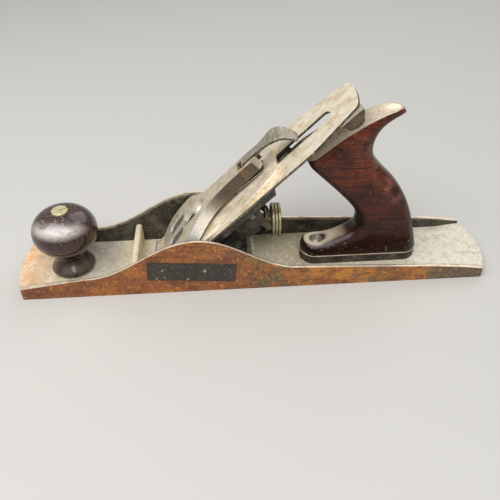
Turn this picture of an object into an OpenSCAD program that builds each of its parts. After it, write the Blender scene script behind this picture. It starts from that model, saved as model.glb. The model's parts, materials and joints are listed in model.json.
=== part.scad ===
// Metal bench plane: iron bed with two side walls, adjustable frog, slotted iron with its
// cap iron, lever cap with a cam lever, turned front knob and shaped rear tote.
// Frame: origin at the middle of the sole, +X towards the heel, +Z up, millimetres.

/* [Bed] */
// Length of the sole from toe to heel
bed_l = 355.6; // [340:0.1:430]
// Thickness of each side wall
wall_t = 3.7; // [3:0.1:4.6]
// Gap between the iron's side and each wall
cheek_gap = 2.15; // [2:0.05:4]
// Thickness of the sole
floor_t = 3.5; // [2.8:0.1:4.2]
// Height of the side walls at their hump
hump_h = 46.6; // [39:0.1:58]
// Distance from the toe to the cutting edge
mouth_from_toe = 101.8; // [92:0.1:124]
// How far the toe's end bows out
toe_bow = 6; // [3:0.5:9]
// How far the heel's end bows out
heel_bow = 8; // [3:0.5:11]
// Height of the cross rib in front of the mouth
rib_h = 19.5; // [10:0.5:24]

/* [Iron] */
// Width of the iron
iron_w = 50.8; // [44:0.1:61]
// Thickness of the iron
iron_t = 2; // [1.6:0.1:2.4]
// Length of the iron from its edge to the middle of its top end
iron_l = 197; // [184:1:234]
// Width of the iron's slot
slot_w = 11; // [10.6:0.1:13]
// Thickness of the cap iron
cap_iron_t = 3; // [2.4:0.1:3.6]

/* [Lever cap] */
// Width of the lever cap across its flared lower end
flare_w = 49; // [42:0.5:50]
// Width of the lever cap's neck
neck_w = 15.2; // [14:0.1:19]
// Height of the lever cap's top over the iron, at its neck
cap_h = 15.6; // [14.6:0.1:18.7]
// Radius of the lever cap screw's shank
cap_screw_r = 3.9; // [3.2:0.1:4.2]

/* [Adjusters] */
// Radius of the depth nut's wheel
nut_wheel_r = 12.7; // [11:0.1:15.2]
// Height of the depth nut's axis over the sole
nut_z = 39.6; // [38:0.1:42]
// Radius of the depth stud
stud_r = 3.2; // [2.6:0.1:3.8]

/* [Handles] */
// Radius of the knob's ball
knob_r = 23.5; // [18:0.5:29]
// Height of the knob's top over the sole
knob_top = 56.2; // [46:0.1:68]
// Thickness of the tote
tote_t = 23; // [19:0.5:27.6]
// Radius of the rods that hold the handles
rod_r = 3.2; // [2.6:0.1:3.8]

/* [Hidden] */
$fn = 96;

// Fits
slide_gap = 0.05;
thread_gap = 0.05;
run_gap = 0.06;
over = 1;

// Bed
bed_w = iron_w + 2 * (cheek_gap + wall_t);
toe_x = -bed_l / 2;
heel_x = bed_l / 2;
inner_half = bed_w / 2 - wall_t;
edge_x = toe_x + mouth_from_toe;
toe_arc_r = (bed_w * bed_w / 4 + toe_bow * toe_bow) / (2 * toe_bow);
heel_arc_r = (bed_w * bed_w / 4 + heel_bow * heel_bow) / (2 * heel_bow);
hump_x = edge_x + 32;
hump_front_x = hump_x - 80;
hump_back_x = hump_x + 74;
rim_toe_z = 8.6;
rim_front_z = 16;
rim_back_z = 18.4;
toe_pad_l = 20.5;
heel_pad_l = 24;
rim_heel_z = 6.6;
wall_steps = 88;
mouth_front_gap = 2.6;
mouth_back_gap = 5.1;
mouth_half_w = iron_w / 2 + 1.3;
rib_x = edge_x - 17;
rib_t = 5;
knob_x = toe_x + 38.3;
knob_boss_r = 15.5;
knob_boss_h = 1;
knob_z = floor_t + knob_boss_h;
seat_z = floor_t + 5.5;
seat_x0 = edge_x + 18.5;
seat_x1 = edge_x + 76;
seat_half_w = 21;
blind_floor = 0.8;

// Label strip on the near wall
label_t = 0.25;
label_l = 64;
label_h = 17;
label_tilt = 4.9;
label_x = edge_x + 28;
label_z = 19.2;

// Slope of the iron: x runs up the iron, z out of its upper face
bed_angle = 45;
face_h = -iron_t - slide_gap;

// Stations along the iron, measured up from the cutting edge
s_screw = 62;
s_yoke = 90;
s_cap_screw = 106.5;
s_roller = 123;
s_lateral = 133;
s_frog_top = 117.5;
s_tongue = 133;

// Frog
frog_half_w = iron_w / 2 - 1.4;
frog_plate_t = 5;
frog_back_h = face_h - frog_plate_t;
frog_bottom_z = floor_t + 0.9;
frog_base_z = seat_z + slide_gap;
frog_base_t = 5;
frog_base_top = frog_base_z + frog_base_t;
frog_toe_x = edge_x + 16;
frog_rear_x = edge_x + 73;
web_t = 3.2;
web_in = 12.2;
web_front_x = edge_x + 46;
web_rear_x = edge_x + 78.5;
tongue_half_w = 9;
rib_under_h = frog_back_h - 3;
frog_screw_x = edge_x + 36;
frog_screw_y = 12.5;
frog_screw_r = 3;
frog_screw_head_r = 5;
frog_screw_head_h = 3.6;
washer_r = 6.6;
washer_t = 1.2;
frog_slot_travel = 2;
driver_r = 7.4;

// Lever cap screw
cap_screw_boss_r = 6.5;
cap_screw_depth = 9;
cap_screw_head_r = 5.6;
keyhole_r = 6.3;
keyhole_drop = 12;
head_seat_depth = 3.2;
head_dome = 1.6;

// Cap iron
cap_iron_l = 128.5;
cap_iron_half_w = iron_w / 2 - 0.4;
cap_iron_end_half = 18.3;
cap_iron_taper_s = 96;
cap_iron_hole_r = 6.2;
yoke_slot_l = 3.7;
yoke_slot_half_w = 4;
cap_iron_screw_r = 3.9;
cap_iron_screw_head_r = 6.5;
cap_iron_screw_head_t = 3;
iron_hole_r = 8.5;
iron_hole_s = 44;
iron_slot_top = 176;
iron_taper_l = 41;
iron_end_half = 0.34 * iron_w;
iron_end_r = 52;
iron_corner_r = 3;
bevel_l = iron_t / tan(25);

// Yoke: pivot in the frame of the bed, arms to the nut and to the cap iron
yoke_x = edge_x + 73;
yoke_z = 54;
yoke_pin_r = 2;
yoke_hub_r = 4.6;
yoke_half_w = web_in - 0.4;
yoke_arm_in = 9.3;
yoke_arm_t = 2;
lug_r = 1.15;
lug_in = 6.1;
tip_r = 1.5;
tip_half_w = 3;

// Depth nut and its stud
nut_x0 = edge_x + 83;
nut_x1 = edge_x + 94.5;
flange_t = 1.6;
flange_r = 8.8;
groove_w = 3;
groove_r = 5.8;
groove_mid_x = nut_x0 + flange_t + groove_w / 2;
wheel_x0 = nut_x0 + flange_t + groove_w;
wheel_ribs = 3;
wheel_groove_depth = 1;
sleeve_r = stud_r + run_gap + 1.4;
stud_x0 = edge_x + 66;
stud_x1 = nut_x1 + 0.3;
stud_boss_r = stud_r + 3;
cross_wall_x = edge_x + 64;
cross_wall_t = 5;
cross_wall_top = 46;

// Lateral lever
roller_r = slot_w / 2 - 0.3;
roller_pin_r = 2;
lateral_pin_r = 2.2;
strip_t = 1.8;
strip_h = face_h - 1.05;
strip_half_w = 4.5;
strip_end_r = 5.3;
lateral_channel_half = 6.7;
lateral_floor_h = strip_h - strip_t - 0.1;
bend_s = 150;
tab_s = 176;
tab_drop = 4.6;
tab_r = 9.3;
tab_curl_r = 2;
tab_l = 18;
tab_strip_l = 10;
tab_y = -5.3;

// Lever cap and cam lever
cap_s0 = 11;
cap_s1 = 121.5;
cap_under0 = cap_iron_t + slide_gap;
cap_under_rise = 0.03;
cap_shell = 4;
cap_wall = 3.2;
cap_hollow_s0 = 24;
cap_hollow_s1 = 76;
recess_s0 = 31;
recess_s1 = 39.5;
recess_r = 5.6;
recess_y = 7.8;
recess_depth = 1.1;
cam_s = 113;
cam_h = 11.5;
cam_hub_r = 5.6;
cam_lobe_r = 5;
cam_lobe_drop = 1.8;
cam_half_w = 4;
cam_slot_half = cam_half_w + 0.3;
cam_slot_s = cam_s - cam_hub_r - 2.4;
cam_pin_r = 2;
spring_t = 0.9;
spring_press_h = cam_h - cam_lobe_drop - cam_lobe_r - 0.15;
spring_half_w = 6.6;
spring_s0 = 80;
spring_s1 = 119.5;
spring_rivet_s = 86;
spring_rivet_r = 1.6;

// Handles
knob_nut_r = 5.75;
knob_nut_l = 9.5;
nut_slot_w = 1.3;
nut_slot_d = 1.6;
nut_proud = 0.2;
knob_foot_r = 16.2;
knob_neck_r = 9.2;
knob_ball_h = 35;
tote_x = edge_x + 111;
tote_z = floor_t + 7.3;
tote_l = 90.4;
tote_foot_r = tote_t / 2;
tote_top_face = 0.86;
tote_top_depth = 4.5;
horn_z = 98;
tote_rod_top = [32, 103.9];
tote_rod_foot = [71, 0];
tote_nut_r = 5.6;
tote_nut_l = 13;
toe_screw_x = 12;
toe_screw_seat = 8.2;
toe_screw_r = 2.6;
toe_screw_head_r = 5.6;
toe_screw_head_h = 3;
toe_screw_head_gap = 0.6;

// Smooth curve through points, with n pieces between each two
function knot(p, i) = p[max(0, min(len(p) - 1, i))];
function blend4(a, b, c, d, t) =
    0.5 * (2 * b + (c - a) * t + (2 * a - 5 * b + 4 * c - d) * t * t
    + (3 * b - a - 3 * c + d) * t * t * t);
function smooth_curve(p, n = 4) = concat(
    [for (i = [0 : len(p) - 2], j = [0 : n - 1])
        blend4(knot(p, i - 1), knot(p, i), knot(p, i + 1), knot(p, i + 2), j / n)],
    [p[len(p) - 1]]);
function mirrored(p) = [for (i = [len(p) - 1 : -1 : 0]) [p[i][0], -p[i][1]]];
function swell(t) = (1 - cos(180 * t)) / 2;

// Top line of the side walls at a place along the bed
function wall_top(x) =
    x < hump_front_x
    ? rim_toe_z + (rim_front_z - rim_toe_z) * pow((x - toe_x) / (hump_front_x - toe_x), 0.9)
    : x < hump_x
    ? rim_front_z + (hump_h - rim_front_z) * swell((x - hump_front_x) / (hump_x - hump_front_x))
    : x < hump_back_x
    ? hump_h - (hump_h - rim_back_z) * swell((x - hump_x) / (hump_back_x - hump_x))
    : heel_rim((x - hump_back_x) / (heel_x - hump_back_x));
function heel_rim(u) =
    rim_back_z - (rim_back_z - rim_heel_z) * (0.62 * u + 0.38 * pow(u, 6));

// Places in the upright plane of a point given up the iron and out of it
function on_x(s, h) = edge_x + s * cos(bed_angle) - h * sin(bed_angle);
function on_z(s, h) = s * sin(bed_angle) + h * cos(bed_angle);
function back_x_at(z) = edge_x - frog_back_h / sin(bed_angle) + z / tan(bed_angle);
function face_x_at(z) = edge_x - face_h / sin(bed_angle) + z / tan(bed_angle);

// Frame of the iron: children are drawn with x up the iron and z out of its face
module slope() {
    translate([edge_x, 0, 0]) rotate([0, -bed_angle, 0]) children();
}

// Prism of an outline drawn in the upright plane, centred across the plane
module upright(width) {
    translate([0, width / 2, 0]) rotate([90, 0, 0]) linear_extrude(width) children();
}

// Block given by its lowest corner along x and z, centred in y
module bar(x0, x1, half_w, z0, z1) {
    translate([x0, -half_w, z0]) cube([x1 - x0, 2 * half_w, z1 - z0]);
}

// Slot with round ends between two places along x
module round_slot(x0, x1, r) {
    translate([x0, 0]) circle(r);
    translate([x1, 0]) circle(r);
    translate([x0, -r]) square([x1 - x0, 2 * r]);
}

// End of the bed, bowed out between its side edges
module bowed_end(x, bow, arc_r, way) {
    intersection() {
        translate([x - way * arc_r, 0]) circle(arc_r, $fn = 240);
        translate([x - way * bow, 0]) square([2 * bow, bed_w], center = true);
    }
}

module bed_outline() {
    bowed_end(toe_x, toe_bow, toe_arc_r, -1);
    bowed_end(heel_x, heel_bow, heel_arc_r, 1);
    translate([toe_x + 1.5 * toe_bow, -bed_w / 2])
        square([bed_l - 1.5 * (toe_bow + heel_bow), bed_w]);
}

module side_wall() {
    step = bed_l / wall_steps;
    upright(wall_t)
        polygon(concat([[heel_x, 0], [toe_x, 0]],
            [for (i = [0 : wall_steps]) [toe_x + i * step, wall_top(toe_x + i * step)]]));
}

// Thick end of the bed, level with its low walls, running down to the floor
module end_pad(x, l, top) {
    intersection() {
        upright(2 * inner_half + wall_t) polygon([
            [x, floor_t - over], [x, top], [x + l / 2, top - 0.8],
            [x + l, floor_t], [x + l, floor_t - over]]);
        linear_extrude(hump_h) bed_outline();
    }
}

module tote_plan(r) {
    round_slot(r, tote_l - r, r);
}

module bed_casting() {
    color("sienna") difference() {
        union() {
            intersection() {
                union() {
                    bar(toe_x, heel_x, bed_w / 2, 0, floor_t);
                    for (side = [-1, 1])
                        translate([0, side * (bed_w - wall_t) / 2, 0]) side_wall();
                }
                linear_extrude(hump_h + over) bed_outline();
            }
            end_pad(toe_x, toe_pad_l, rim_toe_z - 0.3);
            end_pad(heel_x, -heel_pad_l, rim_heel_z - 0.3);
            bar(rib_x, rib_x + rib_t, inner_half, floor_t, rib_h);
            bar(seat_x0, seat_x1, seat_half_w, floor_t, seat_z);
            translate([knob_x, 0, floor_t]) cylinder(r = knob_boss_r, h = knob_boss_h);
            translate([tote_x, 0, floor_t])
                linear_extrude(tote_z - floor_t) tote_plan(tote_foot_r);
        }
        upright(2 * mouth_half_w) polygon([
            [edge_x - mouth_front_gap, -over], [edge_x - mouth_front_gap, floor_t + over],
            [edge_x + mouth_back_gap + floor_t + over, floor_t + over],
            [edge_x + mouth_back_gap - over, -over]]);
        translate([knob_x, 0, blind_floor]) cylinder(r = rod_r + thread_gap, h = knob_z);
        for (side = [-1, 1])
            translate([frog_screw_x, side * frog_screw_y, blind_floor])
                cylinder(r = frog_screw_r + thread_gap, h = seat_z);
        translate([tote_x + toe_screw_x, 0, blind_floor])
            cylinder(r = toe_screw_r + thread_gap, h = tote_z);
        tote_rod_axis() cylinder(r = rod_r + thread_gap, h = rod_l());
    }
}

module label_tape() {
    color("dimgray")
        translate([label_x, -bed_w / 2, label_z])
        rotate([90, label_tilt, 0])
        linear_extrude(label_t)
        square([label_l, label_h], center = true);
}

// Front knob, its rod and nut
module knob_profile() {
    ball_z = knob_top - knob_ball_h / 2;
    foot = [[knob_foot_r, knob_z], [knob_foot_r, knob_z + 2], [knob_foot_r - 2.2, knob_z + 5.4],
        [knob_neck_r + 2, knob_z + 9], [knob_neck_r, knob_z + 12.5]];
    ball = [for (a = [-60 : 7.5 : 90])
        [knob_r * pow(cos(a), 0.85), ball_z + knob_ball_h / 2 * sin(a)]];
    polygon(concat([[0, knob_z]], smooth_curve(foot, 3), ball));
}

module front_knob() {
    color("#3a1f1c") difference() {
        translate([knob_x, 0, 0]) rotate_extrude() knob_profile();
        translate([knob_x, 0, 0]) cylinder(r = rod_r + 0.4, h = knob_top + over);
        translate([knob_x, 0, knob_top - knob_nut_l])
            cylinder(r = knob_nut_r + thread_gap, h = knob_nut_l + over);
    }
}

module knob_rod() {
    color("gray") translate([knob_x, 0, blind_floor])
        cylinder(r = rod_r, h = knob_top - 3.5 - blind_floor);
}

// Slotted barrel nut, standing on z = 0
module barrel_nut(r, l, bore_l) {
    difference() {
        cylinder(r = r, h = l);
        translate([0, 0, -over]) cylinder(r = rod_r + thread_gap, h = bore_l + over);
        translate([-r - over, -nut_slot_w / 2, l - nut_slot_d])
            cube([2 * (r + over), nut_slot_w, nut_slot_d + over]);
    }
}

module knob_nut() {
    color("#b9a05c") translate([knob_x, 0, knob_top - knob_nut_l])
        rotate([0, 0, 30]) barrel_nut(knob_nut_r, knob_nut_l + nut_proud, knob_nut_l - 3);
}

// Tote outline in its own plane, from the foot's front corner
tote_front = [[0, 0], [0.2, 6], [2.6, 9.6], [12, 10.2], [21, 12], [29.5, 15.6], [36.4, 19],
    [40.2, 23.6], [40.6, 29], [39, 35.5], [34, 43.1], [24.2, 53.8], [12.3, 65.6], [3.4, 74.2],
    [0.8, 77.6], [0.4, 80.2]];
tote_top = [[0.4, 80.2], [5.3, 84.4], [14.1, 92], [22.2, 98.8], [33.1, 106.5], [39, 110.1],
    [44, 112.8], [49, 114.7], [54, 115.8], [58.5, 116.4], [62.5, 115.4], [65.6, 112.8]];
tote_back = [[65.6, 112.8], [61.2, 111.8], [54.8, 109.2], [49.5, 105], [46, 99], [44.3, 92],
    [44.7, 85.8], [48.4, 78.6], [56.3, 69.6], [64.1, 61.7], [70.8, 52.9], [76.9, 42],
    [82.1, 28.9], [86.3, 15.3], [89.4, 3.4], [90.2, 0]];

// Half width of the horn at places along it, in parts of the tote's thickness
horn_half = [[45, 0.43], [49.5, 0.4], [53.5, 0.36], [57, 0.305], [60, 0.25], [62.4, 0.2],
    [64.3, 0.14], [65.6, 0.075], [66.3, 0.02]];

module tote_side() {
    polygon(concat(smooth_curve(tote_front, 3), smooth_curve(tote_top, 3),
        smooth_curve(tote_back, 3)));
}

function rod_run() = tote_rod_foot - tote_rod_top;
function rod_l() = norm(rod_run()) + tote_z - 2 * blind_floor;

// Axis of the tote's rod, pointing up from its lower end in the bed
module tote_rod_axis() {
    lean = atan2(rod_run()[0], -rod_run()[1]);
    top_x = tote_x + tote_rod_top[0];
    top_z = tote_z + tote_rod_top[1];
    translate([top_x, 0, top_z]) rotate([0, -lean, 0]) translate([0, 0, -rod_l()]) children();
}

// Band under the top line, which keeps the flat top face wide
module tote_top_band() {
    line = smooth_curve(tote_top, 3);
    intersection() {
        tote_side();
        polygon(concat(line, [for (i = [len(line) - 1 : -1 : 0])
            line[i] + tote_top_depth * [0.64, -0.77]]));
    }
}

// What is taken off the sides of the horn to bring it to its tip
module horn_sides() {
    half = [for (p = smooth_curve(horn_half, 2)) [p[0], p[1] * tote_t]];
    linear_extrude(30) difference() {
        translate([horn_half[0][0], -tote_t]) square([30, 2 * tote_t]);
        polygon(concat([[0, half[0][1]]], half, mirrored(half), [[0, -half[0][1]]]));
    }
}

module tote() {
    rod_top = rod_l();
    color("#4a1d14") difference() {
        intersection() {
            translate([tote_x, 0, tote_z]) union() {
                upright(tote_t * tote_top_face) tote_top_band();
                upright(tote_t * 0.56) tote_side();
                upright(tote_t * 0.8) offset(delta = -1.6) tote_side();
                upright(tote_t) offset(delta = -4.4) tote_side();
                bar(4.5, tote_l - 3, tote_t / 2, 0, 7.5);
            }
            translate([tote_x, 0, tote_z]) linear_extrude(200) tote_plan(tote_foot_r);
        }
        translate([tote_x, 0, tote_z + horn_z]) horn_sides();
        tote_rod_axis() cylinder(r = rod_r + 0.5, h = rod_top + over);
        tote_rod_axis() translate([0, 0, rod_top - tote_nut_l])
            cylinder(r = tote_nut_r + thread_gap, h = 3 * tote_nut_l);
        translate([tote_x + toe_screw_x, 0, tote_z - over])
            cylinder(r = toe_screw_r + 0.3, h = toe_screw_seat + 2 * over);
        translate([tote_x + toe_screw_x, 0, tote_z + toe_screw_seat])
            cylinder(r = toe_screw_head_r + toe_screw_head_gap, h = 12);
    }
}

module tote_rod() {
    color("gray") tote_rod_axis() cylinder(r = rod_r, h = rod_l() - 4);
}

module tote_nut() {
    color("#b9a05c") tote_rod_axis() translate([0, 0, rod_l() - tote_nut_l])
        barrel_nut(tote_nut_r, tote_nut_l + nut_proud, tote_nut_l - 3.5);
}

// Round-headed slotted screw standing in its seat at z = 0, shank below
module round_screw(r, head_r, head_h, shank_l, slot_angle) {
    dome_r = (head_r * head_r + head_h * head_h) / (2 * head_h);
    difference() {
        union() {
            translate([0, 0, -shank_l]) cylinder(r = r, h = shank_l + 0.5);
            intersection() {
                translate([0, 0, head_h - dome_r]) sphere(dome_r);
                cylinder(r = head_r, h = head_h);
            }
        }
        rotate([0, 0, slot_angle]) translate([-head_r - over, -nut_slot_w / 2, head_h - nut_slot_d])
            cube([2 * (head_r + over), nut_slot_w, nut_slot_d + over]);
    }
}

module tote_toe_screw() {
    color("dimgray") translate([tote_x + toe_screw_x, 0, tote_z + toe_screw_seat])
        round_screw(toe_screw_r, toe_screw_head_r, toe_screw_head_h,
            tote_z + toe_screw_seat - blind_floor, 60);
}

// Frog and what holds it
module frog_side_outline() {
    top_face = [on_x(s_frog_top, face_h), on_z(s_frog_top, face_h)];
    top_back = [on_x(s_frog_top, frog_back_h), on_z(s_frog_top, frog_back_h)];
    polygon([
        [face_x_at(frog_bottom_z), frog_bottom_z], [frog_toe_x, frog_bottom_z],
        [frog_toe_x, frog_base_z], [frog_rear_x, frog_base_z], [frog_rear_x, frog_base_top],
        [back_x_at(frog_base_top), frog_base_top], top_back, top_face]);
}

module frog_web_outline() {
    low_z = frog_base_top - over;
    polygon([
        [web_front_x, low_z], [edge_x + 60, low_z], [edge_x + 66, 34], [web_rear_x, 41.5],
        [web_rear_x, 59.5], [edge_x + 75.5, 63], [back_x_at(66) - over, 66],
        [web_front_x, web_front_x - back_x_at(0) + over]]);
}

module frog() {
    color("#26241f") difference() {
        union() {
            upright(2 * frog_half_w) frog_side_outline();
            for (side = [-1, 1])
                translate([0, side * (web_in + web_t / 2), 0]) upright(web_t) frog_web_outline();
            bar(cross_wall_x, cross_wall_x + cross_wall_t, web_in + over,
                frog_base_top - over, cross_wall_top);
            translate([cross_wall_x, 0, nut_z]) rotate([0, 90, 0])
                cylinder(r = stud_boss_r, h = web_rear_x - cross_wall_x - 1.5);
            slope() {
                bar(s_frog_top - over, s_tongue, tongue_half_w, rib_under_h, face_h);
                translate([s_tongue, 0, rib_under_h])
                    cylinder(r = tongue_half_w, h = face_h - rib_under_h);
                bar(s_cap_screw - 8, s_frog_top, tongue_half_w, rib_under_h, frog_back_h + over);
                translate([s_screw, 0, frog_back_h - cap_screw_depth])
                    cylinder(r = cap_screw_boss_r, h = cap_screw_depth + over);
            }
        }
        slope() {
            translate([s_screw, 0, frog_back_h - cap_screw_depth - over])
                cylinder(r = cap_screw_r + thread_gap, h = 30);
            bar(s_yoke - 6.5, s_yoke + 6.5, 5, rib_under_h - 12, over);
            bar(s_cap_screw - 9, s_frog_top, cap_iron_screw_head_r + 1.1,
                -iron_t - cap_iron_screw_head_t - 0.7, over);
            bar(s_frog_top - over, s_lateral + 20, lateral_channel_half, lateral_floor_h, over);
            translate([s_lateral, 0, rib_under_h - over])
                cylinder(r = lateral_pin_r + thread_gap, h = 20);
        }
        translate([yoke_x, 0, yoke_z]) rotate([90, 0, 0])
            cylinder(r = yoke_pin_r + thread_gap, h = 60, center = true);
        translate([stud_x0, 0, nut_z]) rotate([0, 90, 0])
            cylinder(r = stud_r + thread_gap, h = 40);
        for (side = [-1, 1])
            translate([frog_screw_x, side * frog_screw_y, 0]) {
                linear_extrude(frog_base_top + over)
                    round_slot(-frog_slot_travel, frog_slot_travel, frog_screw_r + 0.3);
                translate([0, 0, frog_base_top])
                    linear_extrude(60) round_slot(-frog_slot_travel, frog_slot_travel, driver_r);
            }
    }
}

module frog_screws() {
    seat = frog_base_top + slide_gap + washer_t;
    color("#4d4a45") for (side = [-1, 1])
        translate([frog_screw_x, side * frog_screw_y, seat])
            round_screw(frog_screw_r, frog_screw_head_r, frog_screw_head_h,
                seat - blind_floor, 20 + 50 * side);
}

module frog_washers() {
    color("#6a665e") for (side = [-1, 1])
        translate([frog_screw_x, side * frog_screw_y, frog_base_top + slide_gap]) difference() {
            cylinder(r = washer_r, h = washer_t);
            translate([0, 0, -over]) cylinder(r = frog_screw_r + 0.2, h = washer_t + 2 * over);
        }
}

module yoke_pin() {
    half = web_in + web_t;
    color("gray") translate([yoke_x, half, yoke_z]) rotate([90, 0, 0])
        cylinder(r = yoke_pin_r, h = 2 * half);
}

module depth_stud() {
    color("gray") translate([stud_x0, 0, nut_z]) rotate([0, 90, 0])
        cylinder(r = stud_r, h = stud_x1 - stud_x0);
}

module lateral_rivet() {
    color("gray") slope() {
        translate([s_lateral, 0, rib_under_h])
            cylinder(r = lateral_pin_r, h = strip_h + slide_gap - rib_under_h);
        translate([s_lateral, 0, strip_h + slide_gap]) cylinder(r = 4, h = 0.7);
    }
}

// Height of the lever cap's seat round its keyhole
function seat_h() = cap_top_h(s_screw) - head_seat_depth;

module lever_cap_screw() {
    root_h = frog_back_h - cap_screw_depth;
    color("#c9c2b2") slope() translate([s_screw, 0, seat_h() + slide_gap])
        round_screw(cap_screw_r, cap_screw_head_r, head_seat_depth + head_dome,
            seat_h() + slide_gap - root_h, 35);
}

// Depth nut: its sleeve slides on the stud and the nut turns on the sleeve
module depth_sleeve() {
    color("#8f8350") translate([nut_x0, 0, nut_z]) rotate([0, 90, 0]) difference() {
        cylinder(r = sleeve_r, h = nut_x1 - nut_x0);
        translate([0, 0, -over]) cylinder(r = stud_r + run_gap, h = nut_x1 - nut_x0 + 2 * over);
    }
}

module depth_nut() {
    l = nut_x1 - nut_x0;
    wheel_l = nut_x1 - wheel_x0;
    pitch = wheel_l / wheel_ribs;
    rim = [for (i = [0 : wheel_ribs - 1], c = [[0.02, 0.5], [0.2, 0], [0.8, 0], [0.98, 0.5]])
        [nut_wheel_r - wheel_groove_depth * 2 * c[1], l - wheel_l + (i + c[0]) * pitch]];
    color("#8f8350") translate([nut_x0, 0, nut_z]) rotate([0, 90, 0])
        rotate_extrude() polygon(concat(
            [[sleeve_r + run_gap, 0], [flange_r, 0], [flange_r, flange_t], [groove_r, flange_t],
            [groove_r, flange_t + groove_w]], rim, [[sleeve_r + run_gap, l]]));
}

module yoke_arm_outline() {
    mid_x = groove_mid_x;
    rise = yoke_z - nut_z;
    polygon([
        [yoke_x - 2.6, yoke_z - 3.4], [mid_x - 1.6, nut_z - 0.6], [mid_x, nut_z - 1.4],
        [mid_x + 1.3, nut_z + 0.6], [mid_x + 0.6, nut_z + 0.24 * rise], [yoke_x + 3.4, yoke_z + 2.6]]);
}

module yoke() {
    pivot_h = (yoke_z - (yoke_x - edge_x)) * sin(bed_angle);
    tip_h = cap_iron_t / 2 - 0.1;
    color("#5a564e") difference() {
        union() {
            translate([yoke_x, 0, yoke_z]) rotate([90, 0, 0])
                cylinder(r = yoke_hub_r, h = 2 * yoke_half_w, center = true);
            for (side = [-1, 1]) {
                translate([0, side * (yoke_arm_in + yoke_arm_t / 2), 0])
                    upright(yoke_arm_t) yoke_arm_outline();
                translate([groove_mid_x, side * (lug_in + yoke_arm_in + over) / 2, nut_z])
                    rotate([90, 0, 0])
                    cylinder(r = lug_r, h = yoke_arm_in + over - lug_in, center = true);
            }
            slope() {
                bar(s_yoke - 1.3, s_yoke + 1.3, tip_half_w, pivot_h + 2, tip_h);
                translate([s_yoke, 0, tip_h]) rotate([90, 0, 0])
                    cylinder(r = tip_r, h = 2 * tip_half_w, center = true);
            }
        }
        translate([yoke_x, 0, yoke_z]) rotate([90, 0, 0])
            cylinder(r = yoke_pin_r + run_gap, h = 60, center = true);
    }
}

// Lateral lever: strip under the iron, bent back to its folded thumb tab
module lateral_lever() {
    tab_h = strip_h - tab_drop;
    color("#7a756c") slope() difference() {
        union() {
            translate([s_roller, 0, strip_h - strip_t]) cylinder(r = strip_end_r, h = strip_t);
            upright(2 * strip_half_w) polygon([
                [s_roller, strip_h], [bend_s, strip_h], [tab_s, tab_h], [tab_s + tab_strip_l, tab_h - 0.4],
                [tab_s + tab_strip_l, tab_h - 0.4 - strip_t], [tab_s, tab_h - strip_t],
                [bend_s, strip_h - strip_t], [s_roller, strip_h - strip_t]]);
            translate([s_roller, 0, strip_h - over])
                cylinder(r = roller_pin_r, h = -strip_h + over - 0.3);
            translate([tab_s, tab_y, tab_h - 1.4]) rotate([0, 90, 0])
                cylinder(r = tab_curl_r, h = tab_l);
            intersection() {
                translate([tab_s + tab_l / 2, tab_y + 0.8, tab_h - 0.6]) rotate([90, 0, 0])
                    cylinder(r = tab_r, h = strip_t);
                bar(tab_s - over, tab_s + tab_l + over, 10, tab_h - 2 * tab_r, tab_h - 0.6);
            }
        }
        translate([s_lateral, 0, strip_h - strip_t - over])
            cylinder(r = lateral_pin_r + run_gap, h = strip_t + 2 * over);
    }
}

module lateral_roller() {
    low = strip_h + 0.06;
    color("#8d887d") slope() translate([s_roller, 0, low]) difference() {
        cylinder(r = roller_r, h = -0.15 - low);
        translate([0, 0, -over]) cylinder(r = roller_pin_r + 0.1, h = 8);
    }
}

// Iron, cap iron and their screw
module iron_plan() {
    corner_y = iron_end_half - iron_corner_r;
    corner_reach = iron_end_r - iron_corner_r;
    corner_a = asin(corner_y / corner_reach);
    arc_x = iron_l - iron_end_r;
    corner_x = arc_x + corner_reach * cos(corner_a);
    half = concat([[0, iron_w / 2], [iron_l - iron_taper_l, iron_w / 2]],
        [for (a = [75 : -15 : 30])
            [corner_x + iron_corner_r * cos(a), corner_y + iron_corner_r * sin(a)]],
        [for (a = [corner_a : -corner_a / 7.5 : 0])
            [arc_x + iron_end_r * cos(a), iron_end_r * sin(a)]]);
    difference() {
        polygon(concat(half, mirrored(half)));
        round_slot(iron_hole_s, iron_slot_top - slot_w / 2, slot_w / 2);
        translate([iron_hole_s, 0]) circle(iron_hole_r);
    }
}

module iron() {
    color("#d8cfbb") slope() intersection() {
        translate([0, 0, -iron_t]) linear_extrude(iron_t) iron_plan();
        upright(iron_w) polygon([[0, 0], [iron_l, 0], [iron_l, -iron_t], [bevel_l, -iron_t]]);
    }
}

module cap_iron_plan() {
    r = 5;
    half = concat([[1.5, cap_iron_half_w], [cap_iron_taper_s, cap_iron_half_w]],
        [for (a = [15 : 15 : 90])
            [cap_iron_l - r + r * sin(a), cap_iron_end_half - r + r * cos(a)]]);
    difference() {
        polygon(concat(half, mirrored(half)));
        round_slot(s_screw - 4, s_screw + 2, cap_iron_hole_r);
        translate([s_yoke - yoke_slot_l / 2, -yoke_slot_half_w])
            square([yoke_slot_l, 2 * yoke_slot_half_w]);
        translate([s_cap_screw, 0]) circle(cap_iron_screw_r + thread_gap);
    }
}

module cap_iron() {
    t = cap_iron_t;
    color("#cfc6b2") slope() intersection() {
        linear_extrude(t) cap_iron_plan();
        upright(iron_w) polygon([
            [1.5, 0], [2.6, 1.5], [4.6, 2.4], [7, t - 0.1], [9, t], [cap_iron_l, t],
            [cap_iron_l, 0], [17, 0], [13.5, 0.5], [9, 1.3], [5.6, 1], [3.4, 0]]);
    }
}

module cap_iron_screw() {
    color("gray") slope() translate([s_cap_screw, 0, -iron_t - cap_iron_screw_head_t]) difference() {
        union() {
            cylinder(r = cap_iron_screw_head_r, h = cap_iron_screw_head_t);
            cylinder(r = cap_iron_screw_r, h = cap_iron_screw_head_t + iron_t + cap_iron_t);
        }
        translate([-10, -nut_slot_w / 2, -over]) cube([20, nut_slot_w, nut_slot_d + over]);
    }
}

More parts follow.
